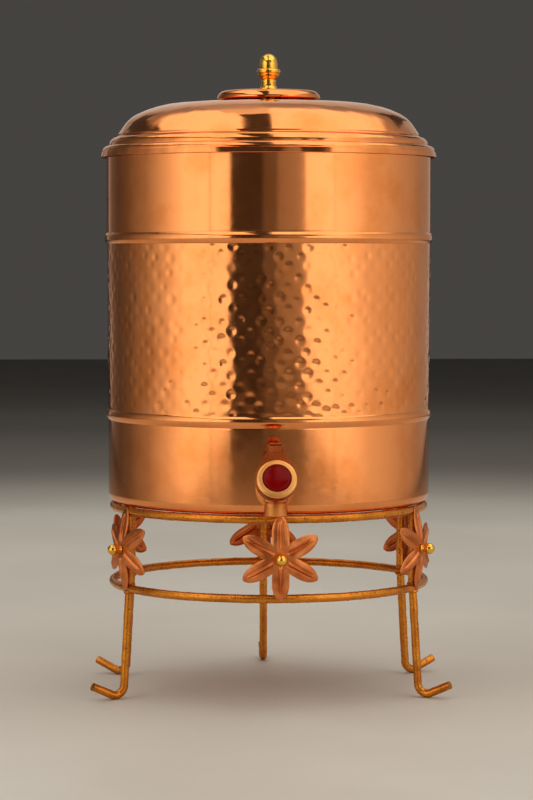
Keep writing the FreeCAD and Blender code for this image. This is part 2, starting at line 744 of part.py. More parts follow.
dome_r = S["finial_collar_r"] - 2.1
finial_outline = [
    (S["stud_fit_r"], plate_z),
    (mm(6.75), plate_z),
    (mm(6.75), plate_z + 2.1),
    (mm(5.3), plate_z + 6.2, mm(8.0), -1),
    (mm(5.3), plate_z + 8.5),
    (S["finial_collar_r"] - 0.5, plate_z + 12.8, mm(6.0), 1),
    (S["finial_collar_r"], plate_z + 13.3),
    (S["finial_collar_r"], plate_z + 15.6),
    (dome_r, plate_z + 16.6),
    (dome_r, S["finial_top_z"] - dome_r),
    (NOUGHT, S["finial_top_z"], dome_r, 1),
    (NOUGHT, S["stud_top_z"] + 0.5),
    (S["stud_fit_r"], S["stud_top_z"] + 0.5),
]
node(turned("Finial", finial_outline), "finial")

node(on_axis(cylinder("FinialStud", S["stud_r"], S["stud_top_z"] - S["stud_bottom_z"]), S["stud_bottom_z"]),
     "finial_stud")

washer_top = top - wall - 0.05
washer_low = washer_top - 1.5
node(sleeve("LidWasher", hole, mm(8.0), washer_low, washer_top), "lid_washer")

lid_nut_blank = on_axis(hexagon("LidNutBlank", S["lid_nut_flat"], S["lid_nut_t"]), washer_low - S["lid_nut_t"])
lid_nut_bore = on_axis(cylinder("LidNutBore", S["stud_fit_r"], S["lid_nut_t"] * 3.0),
                       washer_low - S["lid_nut_t"] * 2.0)
node(cut("LidNut", lid_nut_blank, lid_nut_bore), "lid_nut")

# ==== checks and files ====

doc.recompute()
for obj in doc.Objects:
    if "Invalid" in obj.State or "Error" in obj.State:
        raise RuntimeError("{} failed: {}".format(obj.Label, obj.State))
for obj in nodes:
    if obj.Shape.isNull() or not obj.Shape.isValid() or not obj.Shape.Solids:
        raise RuntimeError("{} has no valid solid".format(obj.Label))

os.makedirs("parts", exist_ok=True)
for obj in nodes:
    obj.Shape.exportStep("parts/{}.step".format(obj.Label))
    print("{:28s} solids {} volume {:10.1f}".format(obj.Label, len(obj.Shape.Solids), obj.Shape.Volume))
print(len(nodes), "sub-parts")
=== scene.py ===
import math
import bpy
import numpy as np
from mathutils import Matrix, Vector


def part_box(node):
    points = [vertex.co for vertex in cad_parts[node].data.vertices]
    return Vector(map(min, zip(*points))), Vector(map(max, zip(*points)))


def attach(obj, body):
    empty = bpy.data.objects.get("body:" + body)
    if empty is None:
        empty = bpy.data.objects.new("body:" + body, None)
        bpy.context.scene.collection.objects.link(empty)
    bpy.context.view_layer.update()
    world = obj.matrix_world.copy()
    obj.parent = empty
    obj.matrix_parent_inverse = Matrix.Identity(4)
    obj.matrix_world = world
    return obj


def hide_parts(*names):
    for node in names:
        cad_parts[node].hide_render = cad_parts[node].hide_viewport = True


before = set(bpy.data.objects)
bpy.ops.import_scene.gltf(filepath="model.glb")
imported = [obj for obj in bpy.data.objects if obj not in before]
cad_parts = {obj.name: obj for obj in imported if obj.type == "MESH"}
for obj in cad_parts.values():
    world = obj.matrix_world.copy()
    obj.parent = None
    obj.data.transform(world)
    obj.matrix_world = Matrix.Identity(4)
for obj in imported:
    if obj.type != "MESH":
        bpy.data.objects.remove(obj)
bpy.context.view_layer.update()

MM = 0.001


# ==== Stand rings ====
# Two hoops of 6 mm iron rod, rolled round and butt-welded. They are painted gold over a rough,
# pitted surface, so the paint sparkles on the high spots and stays dark in the pits.

def deselect():
    bpy.ops.object.select_all(action="DESELECT")


def only(obj):
    """Make one object the selected and active one."""
    deselect()
    obj.select_set(True)
    bpy.context.view_layer.objects.active = obj


def settle(obj, place=Matrix.Identity(4)):
    """Move an object by a matrix and write its place into its mesh."""
    only(obj)
    obj.matrix_world = place @ obj.matrix_world
    bpy.ops.object.transform_apply(location=True, rotation=True, scale=True)


def modify(obj, kind, **settings):
    """Add a modifier, set it up and apply it."""
    only(obj)
    modifier = obj.modifiers.new(kind.title(), kind)
    for key, value in settings.items():
        setattr(modifier, key, value)
    bpy.ops.object.modifier_apply(modifier=modifier.name)


def smooth(obj, angle=35.0):
    only(obj)
    bpy.ops.object.shade_smooth_by_angle(angle=math.radians(angle))


def roughen(obj, grain, height, name):
    """Push the surface in and out by a cloudy pattern."""
    clouds = bpy.data.textures.new(name, "CLOUDS")
    clouds.noise_scale = grain
    clouds.noise_depth = 3
    modify(obj, "DISPLACE", texture=clouds, texture_coords="LOCAL", strength=height, mid_level=0.5)


def new_material(name):
    material = bpy.data.materials.new(name)
    material.use_nodes = True
    return material


def add_node(material, kind, **settings):
    """Add a shader node. A setting is one of its properties, or one of its inputs by name."""
    made = material.node_tree.nodes.new(kind)
    for key, value in settings.items():
        if key in made.bl_rna.properties:
            setattr(made, key, value)
        else:
            made.inputs[key.replace("_", " ")].default_value = value
    return made


def wire(material, source, output, target, entry):
    material.node_tree.links.new(source.outputs[output], target.inputs[entry])


def shader_of(material):
    return material.node_tree.nodes["Principled BSDF"]


def grain_space(material, stretch=(1.0, 1.0, 1.0)):
    coordinates = add_node(material, "ShaderNodeTexCoord")
    mapping = add_node(material, "ShaderNodeMapping", Scale=stretch)
    wire(material, coordinates, "Object", mapping, "Vector")
    return mapping


def noise(material, space, scale, detail=4.0, roughness=0.55):
    made = add_node(material, "ShaderNodeTexNoise", Scale=scale, Detail=detail, Roughness=roughness)
    wire(material, space, "Vector", made, "Vector")
    return made


def blend_colours(material, factor, low, high, start=0.35, stop=0.65):
    ramp = add_node(material, "ShaderNodeValToRGB")
    ramp.color_ramp.elements[0].position = start
    ramp.color_ramp.elements[0].color = (*low, 1.0)
    ramp.color_ramp.elements[1].position = stop
    ramp.color_ramp.elements[1].color = (*high, 1.0)
    wire(material, factor, 0, ramp, "Fac")
    return ramp


def vary_roughness(material, factor, low, high, start=0.35, stop=0.65):
    spread = add_node(material, "ShaderNodeMapRange")
    for entry, value in (("From Min", start), ("From Max", stop), ("To Min", low), ("To Max", high)):
        spread.inputs[entry].default_value = value
    wire(material, factor, 0, spread, "Value")
    wire(material, spread, "Result", shader_of(material), "Roughness")


def raise_bumps(material, height, depth, strength=1.0, under=None):
    bump = add_node(material, "ShaderNodeBump", Strength=strength, Distance=depth)
    wire(material, height, 0, bump, "Height")
    if under is not None:
        wire(material, under, "Normal", bump, "Normal")
    wire(material, bump, "Normal", shader_of(material), "Normal")
    return bump


def gold_paint():
    material = new_material("gold_paint")
    shader = shader_of(material)
    shader.inputs["Metallic"].default_value = 0.85
    shader.inputs["Coat Weight"].default_value = 0.25
    shader.inputs["Coat Roughness"].default_value = 0.2
    space = grain_space(material)
    pits = noise(material, space, 420.0, 6.0, 0.7)
    patches = noise(material, space, 60.0, 3.0)
    ramp = blend_colours(material, pits, (0.12, 0.032, 0.003), (0.74, 0.285, 0.03), 0.32, 0.42)
    tint = add_node(material, "ShaderNodeMix", data_type="RGBA", blend_type="MULTIPLY")
    tint.inputs[0].default_value = 0.5
    shade = blend_colours(material, patches, (0.55, 0.40, 0.22), (1.0, 1.0, 1.0), 0.36, 0.56)
    wire(material, ramp, "Color", tint, 6)
    wire(material, shade, "Color", tint, 7)
    wire(material, tint, 2, shader, "Base Color")
    vary_roughness(material, pits, 0.55, 0.24, 0.36, 0.5)
    coarse = raise_bumps(material, patches, 0.0006, 0.5)
    raise_bumps(material, pits, 0.0003, 0.55, coarse)
    return material


gold = gold_paint()
ROD = (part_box("upper_ring")[1].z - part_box("upper_ring")[0].z) / 2
for ring_name in ("upper_ring", "lower_ring"):
    low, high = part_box(ring_name)
    deselect()
    bpy.ops.mesh.primitive_torus_add(location=(0, 0, (low.z + high.z) / 2),
                                     major_segments=480, minor_segments=20,
                                     major_radius=high.x - ROD, minor_radius=ROD)
    ring = bpy.context.object
    ring.name = ring_name + "_rod"
    settle(ring)
    roughen(ring, 0.006, 0.0006, ring_name + "_lumps")
    smooth(ring, 60.0)
    ring.data.materials.append(gold)
    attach(ring, "stand")
    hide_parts(ring_name)
UPPER_Z = (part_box("upper_ring")[0].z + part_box("upper_ring")[1].z) / 2
UPPER_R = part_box("upper_ring")[1].x - ROD
LOWER_Z = (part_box("lower_ring")[0].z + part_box("lower_ring")[1].z) / 2
LOWER_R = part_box("lower_ring")[1].x - ROD


# ==== Legs and posts ====
# Five lengths of the same rod hang from the lower ring, splay a little and bend outwards into a
# toe with a sawn end. Six short posts join the two rings. All are welded and painted gold.

def start_line(name, first):
    """A mesh of one selected corner, ready to be extruded into a line."""
    deselect()
    bpy.ops.mesh.primitive_plane_add(size=MM)
    obj = bpy.context.object
    obj.name = name
    bpy.ops.object.mode_set(mode="EDIT")
    bpy.ops.mesh.select_all(action="SELECT")
    bpy.ops.mesh.merge(type="CENTER")
    bpy.ops.transform.translate(value=first)
    return obj


def draw_line(name, points):
    """A line through the points, drawn by extruding one corner after another."""
    obj = start_line(name, points[0])
    for before, after in zip(points, points[1:]):
        step = Vector(after) - Vector(before)
        bpy.ops.mesh.extrude_region_move(TRANSFORM_OT_translate={"value": step})
    bpy.ops.object.mode_set(mode="OBJECT")
    return obj


def thicken_line(obj, radius, sides=5):
    """Turn a drawn line into a solid round rod with softened ends."""
    only(obj)
    bpy.ops.object.convert(target="CURVE")
    obj.data.dimensions = "3D"
    obj.data.bevel_depth = radius
    obj.data.bevel_resolution = sides
    obj.data.use_fill_caps = True
    bpy.ops.object.convert(target="MESH")
    modify(obj, "BEVEL", width=0.6 * MM, segments=2, limit_method="ANGLE", angle_limit=math.radians(50))


def arc(centre, radius, start, stop, steps):
    """Points of an arc in the plane of the outline, from start to stop in degrees."""
    angles = np.radians(np.linspace(start, stop, steps + 1))
    return [(centre[0] + radius * math.cos(a), centre[1] + radius * math.sin(a)) for a in angles]


def run(start, stop, spacing):
    """Evenly spaced points from start to stop."""
    steps = max(1, round(math.dist(start, stop) / spacing))
    return [tuple(np.add(start, np.subtract(stop, start) * i / steps)) for i in range(steps + 1)]


def copied(obj, name):
    """A copy of an object, with a mesh of its own."""
    copy = obj.copy()
    copy.data = obj.data.copy()
    copy.name = name
    bpy.context.scene.collection.objects.link(copy)
    return copy


def azimuth_of(node):
    """The way a stand piece faces, in radians counted from the tap."""
    low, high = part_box(node)
    middle = (low + high) / 2
    return math.atan2(middle.x, -middle.y)


def facing(azimuth):
    """Turns local X outwards at an azimuth."""
    return Matrix.Rotation(azimuth - math.pi / 2, 4, "Z")


BEND_R = 7 * MM
SPLAY = 4.3 * MM
TOE = Vector((15.2 * MM, 6.8 * MM))
ROW = 2.5 * MM
places = ("front_left", "front_right", "back_left", "back_right", "back_centre", "front_centre")
sole_z = ROD + BEND_R
shaft_tilt = math.atan2(SPLAY, LOWER_Z - sole_z)
toe_tilt = math.atan2(TOE.y, TOE.x)
ankle = (LOWER_R + SPLAY, sole_z - BEND_R * math.sin(shaft_tilt))
bend_centre = (ankle[0] + BEND_R * math.cos(shaft_tilt), sole_z)
bend = arc(bend_centre, BEND_R, 180 + math.degrees(shaft_tilt), 270 + math.degrees(toe_tilt), 12)
toe_end = (bend[-1][0] + TOE.x, bend[-1][1] + TOE.y)
shaft = run((LOWER_R, LOWER_Z - ROD * 0.7), ankle, ROW)
route = shaft[:-1] + bend + run(bend[-1], toe_end, ROW)[1:]
bent_rod = draw_line("bent_rod", [(x, 0, z) for x, z in route])
thicken_line(bent_rod, ROD)
bent_rod.data.materials.append(gold)
for place in places[:5]:
    leg = copied(bent_rod, "leg_rod_" + place)
    settle(leg, facing(azimuth_of("flower_" + place)))
    roughen(leg, 0.006, 0.0006, "leg_lumps_" + place)
    smooth(leg, 50.0)
    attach(leg, "stand")
    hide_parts("leg_" + place)
bpy.data.objects.remove(bent_rod)

POST_R = (UPPER_R + LOWER_R) / 2
route = run((POST_R, LOWER_Z + ROD * 0.7), (POST_R, UPPER_Z - ROD * 0.7), ROW)
short_rod = draw_line("short_rod", [(x, 0, z) for x, z in route])
thicken_line(short_rod, ROD)
short_rod.data.materials.append(gold)
for place in places:
    post = copied(short_rod, "post_rod_" + place)
    settle(post, facing(azimuth_of("flower_" + place)))
    roughen(post, 0.006, 0.0005, "post_lumps_" + place)
    smooth(post, 50.0)
    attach(post, "stand")
    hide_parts("post_" + place)
bpy.data.objects.remove(short_rod)


# ==== Weld beads ====
# A lumpy ring of weld metal closes each joint of leg, post and ring. It was brushed and painted
# over with the same gold paint, and its ripples still show.

bead_spots = []
for place in places:
    way = azimuth_of("flower_" + place)
    bead_spots.append((way, POST_R, LOWER_Z + ROD * 0.9))
    bead_spots.append((way, POST_R, UPPER_Z - ROD * 0.9))
    if place != "front_centre":
        bead_spots.append((way, LOWER_R, LOWER_Z - ROD * 0.9))
deselect()
bpy.ops.mesh.primitive_torus_add(major_segments=36, minor_segments=12,
                                 major_radius=ROD * 0.95, minor_radius=ROD * 0.36)
first_bead = bpy.context.object
beads = []
for way, radius, height in bead_spots:
    bead = copied(first_bead, "weld_bead")
    settle(bead, facing(way) @ Matrix.Translation((radius, 0, height)))
    beads.append(bead)
bpy.data.objects.remove(first_bead)
only(beads[0])
for bead in beads:
    bead.select_set(True)
bpy.ops.object.join()
welds = bpy.context.object
welds.name = "weld_beads"
roughen(welds, 0.0025, 0.0011, "weld_ripples")
smooth(welds, 60.0)
welds.data.materials.append(gold)
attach(welds, "stand")


# ==== Flowers ====
# Each flower is stamped from one piece of copper sheet: six round-ended petals with a raised rib
# and a groove on each side of it, bent back so that the tips meet the rings. The metal is left satin.

FLOWER_SHEET = 0.8 * MM
PETAL_TIP = 30.4 * MM
PETAL_HALF = 6.2 * MM
NOTCH = 12.0 * MM
HUB_HOLE = 2.0 * MM
DISH_R = 97.0 * MM
RIB_START = 5.0 * MM
RIB_STOP = 27.0 * MM
PER_PETAL = 84
FLOWER_ROWS = 30


def petal_half_width(along):
    """Half the petal's width at a distance from the flower's centre."""
    notch_half = NOTCH * math.sin(math.pi / 6)
    widest = 17.5 * MM
    if along < widest:
        share = (along - NOTCH * math.cos(math.pi / 6)) / (widest - NOTCH * math.cos(math.pi / 6))
        return notch_half + (PETAL_HALF - notch_half) * math.sin(min(max(share, 0.0), 1.0) * math.pi / 2)
    share = (along - widest) / (PETAL_TIP - widest)
    return PETAL_HALF * max(1.0 - share ** 2.0, 0.0) ** 0.6


def petal_reach(angle):
    """How far the outline is from the centre, at an angle from the petal's middle line."""
    low, high = NOTCH * 0.5, PETAL_TIP
    for _ in range(40):
        middle = (low + high) / 2
        inside = middle * math.sin(angle) < petal_half_width(middle * math.cos(angle))
        low, high = (middle, high) if inside else (low, middle)
    return low


def gauss(value, width):
    return np.exp(-(value / width) ** 2)


def ease(value, start, stop):
    share = np.clip((value - start) / (stop - start), 0.0, 1.0)
    return share * share * (3 - 2 * share)


def flower_relief(along, across, sideways):
    """Height of the pressed sheet over a flat one. The petals at the sides are bent back further."""
    distance = np.hypot(along, across)
    dish = -distance ** 2 / (2 * DISH_R) * (1 + 0.4 * sideways ** 2)
    arch = -0.7 * MM * (across / PETAL_HALF) ** 2 * ease(along, 9 * MM, 16 * MM)
    rib_room = ease(along, RIB_START, RIB_START + 2 * MM) * (1 - ease(along, RIB_STOP - 4 * MM, RIB_STOP))
    narrowing = 1.0 - 0.35 * ease(along, RIB_START, RIB_STOP)
    rib = 1.0 * MM * gauss(across, 0.85 * MM * narrowing) * rib_room
    grooves = -0.55 * MM * gauss(np.abs(across) - 1.75 * MM * narrowing, 0.5 * MM) * rib_room
    edge = -0.35 * MM * ease(np.abs(across) / petal_width_at(along), 0.8, 1.0)
    cup = -0.8 * MM * gauss(distance, 4.5 * MM)
    return dish + arch + rib + grooves + edge + cup


def petal_width_at(along):
    return np.array([max(petal_half_width(value), 0.5 * MM) for value in along])


def satin_copper():
    material = new_material("flower_copper")
    shader = shader_of(material)
    shader.inputs["Metallic"].default_value = 1.0
    space = grain_space(material)
    patches = noise(material, space, 90.0, 5.0)
    grain = noise(material, space, 1500.0, 3.0, 0.7)
    ramp = blend_colours(material, patches, (0.50, 0.15, 0.048), (0.82, 0.31, 0.115), 0.3, 0.65)
    wire(material, ramp, "Color", shader, "Base Color")
    vary_roughness(material, patches, 0.30, 0.42)
    raise_bumps(material, grain, 0.00015, 0.7)
    return material


flower_copper = satin_copper()
deselect()
bpy.ops.mesh.primitive_circle_add(vertices=6 * PER_PETAL, radius=HUB_HOLE)
stamped = bpy.context.object
bpy.ops.object.mode_set(mode="EDIT")
bpy.ops.mesh.select_all(action="SELECT")
row_radius = HUB_HOLE
for row in range(FLOWER_ROWS):
    wider = row_radius + MM
    bpy.ops.mesh.extrude_region_move()
    growth = wider / row_radius
    bpy.ops.transform.resize(value=(growth, growth, 1.0), center_override=(0, 0, 0))
    row_radius = wider
bpy.ops.object.mode_set(mode="OBJECT")
count = len(stamped.data.vertices)
flat = np.zeros(count * 3)
stamped.data.vertices.foreach_get("co", flat)
flat = flat.reshape(-1, 3)
turn = np.arctan2(flat[:, 0], flat[:, 1])
share = np.round((np.hypot(flat[:, 0], flat[:, 1]) - HUB_HOLE) / MM) / FLOWER_ROWS
petal_turn = np.round(turn / (math.pi / 3)) * (math.pi / 3)
off_middle = turn - petal_turn
reach = np.array([petal_reach(abs(angle)) for angle in off_middle])
distance = HUB_HOLE + (reach - HUB_HOLE) * share
shaped = np.empty_like(flat)
shaped[:, 0] = distance * np.sin(turn)
shaped[:, 1] = distance * np.cos(turn)
shaped[:, 2] = flower_relief(distance * np.cos(off_middle), distance * np.sin(off_middle), np.sin(turn))
stamped.data.vertices.foreach_set("co", shaped.ravel())
stamped.data.update()
modify(stamped, "SOLIDIFY", thickness=FLOWER_SHEET, offset=-1.0)
modify(stamped, "BEVEL", width=0.22 * MM, segments=2, limit_method="ANGLE", angle_limit=math.radians(60))
only(stamped)
bpy.ops.object.mode_set(mode="EDIT")
bpy.ops.mesh.select_all(action="SELECT")
bpy.ops.mesh.normals_make_consistent(inside=False)
bpy.ops.object.mode_set(mode="OBJECT")
smooth(stamped, 50.0)
stamped.data.materials.append(flower_copper)
FLOWER_Z = (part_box("flower_front_centre")[0].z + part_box("flower_front_centre")[1].z) / 2
FLOWER_FACE = -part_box("flower_front_centre")[0].y
LEAN = math.radians(0.9)
for place in places:
    flower = copied(stamped, "pressed_flower_" + place)
    upright = Matrix.Rotation(math.pi / 2 - LEAN, 4, "X")
    stand_off = Matrix.Translation((0, -FLOWER_FACE, FLOWER_Z))
    around = Matrix.Rotation(azimuth_of("flower_" + place), 4, "Z")
    settle(flower, around @ stand_off @ upright)
    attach(flower, "stand")
    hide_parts("flower_" + place)
bpy.data.objects.remove(stamped)


# ==== Ball studs ====
# A turned brass stud with a polished ball head goes through each flower and is brazed to the post
# behind it.

def turn_solid(name, outline, steps):
    """Spin an outline of (radius, height) corners about the Z axis into a closed solid."""
    obj = draw_line(name, [(r, 0, z) for r, z in outline])
    bpy.ops.object.mode_set(mode="EDIT")
    bpy.ops.mesh.select_all(action="SELECT")
    bpy.ops.mesh.spin(steps=steps, angle=2 * math.pi, center=(0, 0, 0), axis=(0, 0, 1))
    bpy.ops.mesh.select_all(action="SELECT")
    bpy.ops.mesh.remove_doubles(threshold=0.002 * MM)
    bpy.ops.mesh.normals_make_consistent(inside=False)
    bpy.ops.object.mode_set(mode="OBJECT")
    return obj


def closed(outline):
    """An outline that ends where it starts."""
    return outline + outline[:1]


def polished_brass():
    material = new_material("brass")
    shader = shader_of(material)
    shader.inputs["Metallic"].default_value = 1.0
    space = grain_space(material, (1.0, 1.0, 6.0))
    patches = noise(material, space, 70.0, 4.0)
    lines = noise(material, space, 900.0, 2.0)
    ramp = blend_colours(material, patches, (0.80, 0.44, 0.07), (0.95, 0.60, 0.13), 0.3, 0.6)
    wire(material, ramp, "Color", shader, "Base Color")
    vary_roughness(material, patches, 0.10, 0.2)
    raise_bumps(material, lines, 0.00004, 0.35)
    return material


brass = polished_brass()
BALL_R = 4.0 * MM
NECK_R = 2.0 * MM
BALL_AT = 128.2 * MM
neck_bottom = POST_R + ROD * 0.8
stud_outline = [(0, neck_bottom), (NECK_R, neck_bottom), (NECK_R, BALL_AT - 6.2 * MM)]
stud_outline += [(NECK_R + 1.3 * MM, BALL_AT - 5.6 * MM), (NECK_R + 0.9 * MM, BALL_AT - 3.4 * MM)]
stud_outline += arc((0, BALL_AT), BALL_R, -42, 90, 16)[:-1] + [(0, BALL_AT + BALL_R)]
first_stud = turn_solid("first_stud", stud_outline, 48)
first_stud.data.materials.append(brass)
level = Matrix.Translation((0, 0, FLOWER_Z)) @ Matrix.Rotation(math.pi / 2, 4, "X")
for place in places:
    stud = copied(first_stud, "ball_stud_" + place)
    settle(stud, Matrix.Rotation(azimuth_of("flower_" + place), 4, "Z") @ level)
    smooth(stud, 40.0)
    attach(stud, "stand")
    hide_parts("flower_ball_" + place)
bpy.data.objects.remove(first_stud)


# ==== Tank shell ====
# Copper sheet of 1 mm, rolled and seamed. A bead is rolled in above and below the middle, the
# bottom edge is turned in to hold the base, and the plain bands are polished bright.

def trace(corners):
    """An outline with its arcs drawn out. An arc has its radius in mm and the side it bulges to."""
    points = [tuple(c * MM for c in corners[0][:2])]
    for corner in corners[1:]:
        start, stop = Vector(points[-1]), Vector(corner[:2]) * MM
        if len(corner) == 2:
            points.append(tuple(stop))
            continue
        radius, side = corner[2] * MM, corner[3]
        chord = stop - start
        middle = (start + stop) / 2
        across = Vector((chord.y, -chord.x)).normalized() * side
        centre = middle - across * math.sqrt(max(radius ** 2 - (chord.length / 2) ** 2, 0.0))
        opening = (start - centre).angle_signed(stop - centre)
        steps = max(4, min(24, round(abs(math.degrees(opening)) / 6)))
        for i in range(1, steps + 1):
            arm = start - centre
            arm.rotate(Matrix.Rotation(-opening * i / steps, 2))
            points.append(tuple(centre + arm))
    return points


def carve(obj, cutter, operation="DIFFERENCE"):
    """Cut a shape out of an object, or add it on, and throw the shape away."""
    modify(obj, "BOOLEAN", object=cutter, operation=operation, solver="EXACT")
    bpy.data.objects.remove(cutter)


def round_rod(radius, low, high, sides=64):
    """A plain cylinder along Z."""
    deselect()
    bpy.ops.mesh.primitive_cylinder_add(vertices=sides, radius=radius, depth=high - low,
                                        location=(0, 0, (low + high) / 2))
    rod = bpy.context.object
    settle(rod)
    return rod


def polished_copper(name, base, dark, smooth_end, rough_end, wave_scale=9.0, wave_height=0.0004):
    """Bright copper with faint brown stains, dull handling marks and fine polishing lines."""
    material = new_material(name)
    shader = shader_of(material)
    shader.inputs["Metallic"].default_value = 1.0
    space = grain_space(material)
    stains = noise(material, space, 26.0, 8.0, 0.62)
    marks = noise(material, space, 110.0, 6.0, 0.6)
    brushed = grain_space(material, (1.0, 1.0, 14.0))
    lines = noise(material, brushed, 320.0, 3.0)
    waves = noise(material, space, wave_scale, 1.0)
    ramp = blend_colours(material, stains, dark, base, 0.3, 0.52)
    wire(material, ramp, "Color", shader, "Base Color")
    vary_roughness(material, marks, smooth_end, rough_end, 0.35, 0.7)
    slow = raise_bumps(material, waves, wave_height, 0.15)
    raise_bumps(material, lines, 0.00003, 0.25, slow)
    return material


BRIGHT_COPPER = ((0.94, 0.378, 0.145), (0.85, 0.30, 0.09), 0.075, 0.14)
tank_copper = polished_copper("tank_copper", *BRIGHT_COPPER)
SPINDLE_TILT = math.radians(27)
TAP_Z = (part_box("wall_flange")[0].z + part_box("wall_flange")[1].z) / 2
REACH = 137.7 * MM
INLET = Matrix.Translation((0, 0, TAP_Z)) @ Matrix.Rotation(math.pi / 2, 4, "X")
SPOUT = Matrix.Translation((0, -REACH, 0))
SPINDLE = Matrix.Translation((0, -REACH, TAP_Z)) @ Matrix.Rotation(math.pi / 2 - SPINDLE_TILT, 4, "X")
LOWER_R_OUT = 118.7
UPPER_R_OUT = 120.0
# Rows close to the beads keep the shading of the plain walls flat.
lower_wall = [(LOWER_R_OUT, z) for z in (146.3, 147, 152, 160, 168, 176, 184, 192, 198, 198.9, 199.2)]
upper_rows = (338.6, 339.2, 345, 353, 361, 369, 377, 385, 392, 397, 397.8, 398.0)
upper_wall = [(UPPER_R_OUT, z) for z in upper_rows]
lower_bead = [(118.55, 199.9), (118.7, 200.5), (119.0, 208.1, 5.5, 1), (118.7, 208.5), (118.5, 209.5)]
upper_bead = [(119.1, 328.2), (119.3, 329.0), (120.0, 337.0, 5.5, 1), (119.85, 337.6), (120.0, 338.3)]
mouth = [(119.4, 398.6), (119.0, 398.6)]
inside = [(119.0, 337.0), (118.6, 329.0, 5.5, -1), (118.0, 208.3), (117.7, 200.3, 5.5, -1), (117.7, 145.9)]
shell_outline = trace(
    [(106, 138.9), (111.7, 138.9), (118.7, 145.9, 7, 1)] + lower_wall + lower_bead + upper_bead
    + upper_wall + mouth + inside + [(111.7, 139.9, 6, -1), (106, 139.9), (106, 138.9)])
shell = turn_solid("tank_shell", shell_outline, 288)
roughen(shell, 0.04, 0.0001, "shell_waves")
tap_hole = round_rod(8.2 * MM, 90 * MM, 140 * MM)
settle(tap_hole, INLET)
carve(shell, tap_hole)
smooth(shell, 30.0)
shell.data.materials.append(tank_copper)
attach(shell, "tank")
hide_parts("tank_wall")


# ==== Hammered band ====
# The middle of the tank is planished by hand. Round hammer marks stand in columns, every other
# column half a step higher, and none of them is quite in line or quite as deep as the next.

BAND_LOW = 207.9 * MM
BAND_HIGH = 329.2 * MM
BAND_R_LOW = 119.05 * MM
BAND_R_HIGH = 119.65 * MM
BAND_COLUMNS = 714
BAND_ROWS = 115
MARK_COLUMNS = 112
MARK_STEP = 15.0 * MM

face_line = [(BAND_R_LOW + (BAND_R_HIGH - BAND_R_LOW) * i / BAND_ROWS,
              BAND_LOW + (BAND_HIGH - BAND_LOW) * i / BAND_ROWS) for i in range(BAND_ROWS + 1)]
back_line = [(BAND_R_HIGH - 1.3 * MM, BAND_HIGH), (BAND_R_LOW - 1.3 * MM, BAND_LOW)]
band = turn_solid("hammered_band", closed(face_line + back_line), BAND_COLUMNS)
count = len(band.data.vertices)
spots = np.zeros(count * 3)
band.data.vertices.foreach_get("co", spots)
spots = spots.reshape(-1, 3)
radius = np.hypot(spots[:, 0], spots[:, 1])
height = spots[:, 2]
turn = np.arctan2(spots[:, 1], spots[:, 0]) % (2 * math.pi)
across = turn / (2 * math.pi) * MARK_COLUMNS
column = np.floor(across).astype(int)
chance = np.random.default_rng(41)
table_size = (MARK_COLUMNS, 12)
drift_across = chance.normal(0, 0.75 * MM, table_size)
drift_up = chance.normal(0, 1.3 * MM, table_size)
mark_reach = chance.uniform(3.3 * MM, 5.2 * MM, table_size)
mark_depth = chance.uniform(0.08 * MM, 0.30 * MM, table_size)
column_width = 2 * math.pi * BAND_R_LOW / MARK_COLUMNS
sunk = np.zeros(count)
for side_step in (-1, 0, 1):
    near = (column + side_step) % MARK_COLUMNS
    stagger = 0.5 * (near % 2)
    first = np.round((height - BAND_LOW) / MARK_STEP - 0.5 - stagger).astype(int)
    for up_step in (-1, 0, 1):
        row = np.clip(first + up_step + 1, 0, 11)
        off_across = (across - (column + side_step + 0.5)) * column_width - drift_across[near, row]
        off_up = height - BAND_LOW - (first + up_step + 0.5 + stagger) * MARK_STEP - drift_up[near, row]
        spread = (off_across ** 2 + off_up ** 2) / mark_reach[near, row] ** 2
        sunk += mark_depth[near, row] * np.clip(1 - spread, 0, 1) ** 2
waves = ((5, 1, 0.06), (9, -2, 0.05), (14, 1.5, 0.04), (23, -1, 0.03), (37, 3, 0.02), (52, -4, 0.012))
swell = sum(size * MM * np.sin(n * turn + lean * height / MM * 0.05 + n) for n, lean, size in waves)
above_low_edge = ease(height, BAND_LOW, BAND_LOW + 2.5 * MM)
edge_room = above_low_edge * (1 - ease(height, BAND_HIGH - 2.5 * MM, BAND_HIGH))
on_face = radius > BAND_R_LOW - 0.6 * MM
moved = np.where(on_face, (swell - sunk) * edge_room, 0.0)
spots[:, :2] *= (1 + moved / radius)[:, None]
band.data.vertices.foreach_set("co", spots.ravel())
band.data.update()
smooth(band, 50.0)
hammered_copper = polished_copper("hammered_copper", *BRIGHT_COPPER)
band.data.materials.append(hammered_copper)
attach(band, "tank")
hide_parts("tank_wall")


# ==== Lid ====
# Spun from copper sheet on a lathe: a low dome, a rounded moulding, a step and a rim that stands
# over the tank's mouth. It was planished after spinning, so its surface ripples a little.

dome = turn_solid("lid_dome_sheet", trace([
    (4.2, 434.2), (70, 431.5, 900, -1), (97, 424.0, 73, -1), (105.6, 417.0, 25.5, -1), (111.2, 409.0),
    (111.1, 407.9), (111.6, 407.3), (112.4, 407.0), (117.7, 401.3, 6.3, -1),
    (117.8, 400.8), (118.3, 400.4), (118.9, 400.5),
    (122.7, 396.9, 4.5, -1), (122.75, 396.4), (123.2, 396.1), (124.1, 392.6), (124.0, 392.3), (123.1, 392.3),
    (121.9, 396.4), (118.3, 399.3, 3.9, 1), (117.0, 400.2), (111.4, 406.0, 5.7, 1), (110.8, 407.4),
    (104.7, 416.2), (96.5, 423.0, 24.5, 1), (69.9, 430.4, 72, 1), (4.2, 433.2, 899, 1), (4.2, 434.2)]), 320)
roughen(dome, 0.02, 0.00036, "dome_ripples")
smooth(dome, 28.0)
lid_copper = polished_copper("lid_copper", *BRIGHT_COPPER, wave_scale=52.0, wave_height=0.0045)
dome.data.materials.append(lid_copper)
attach(dome, "lid")
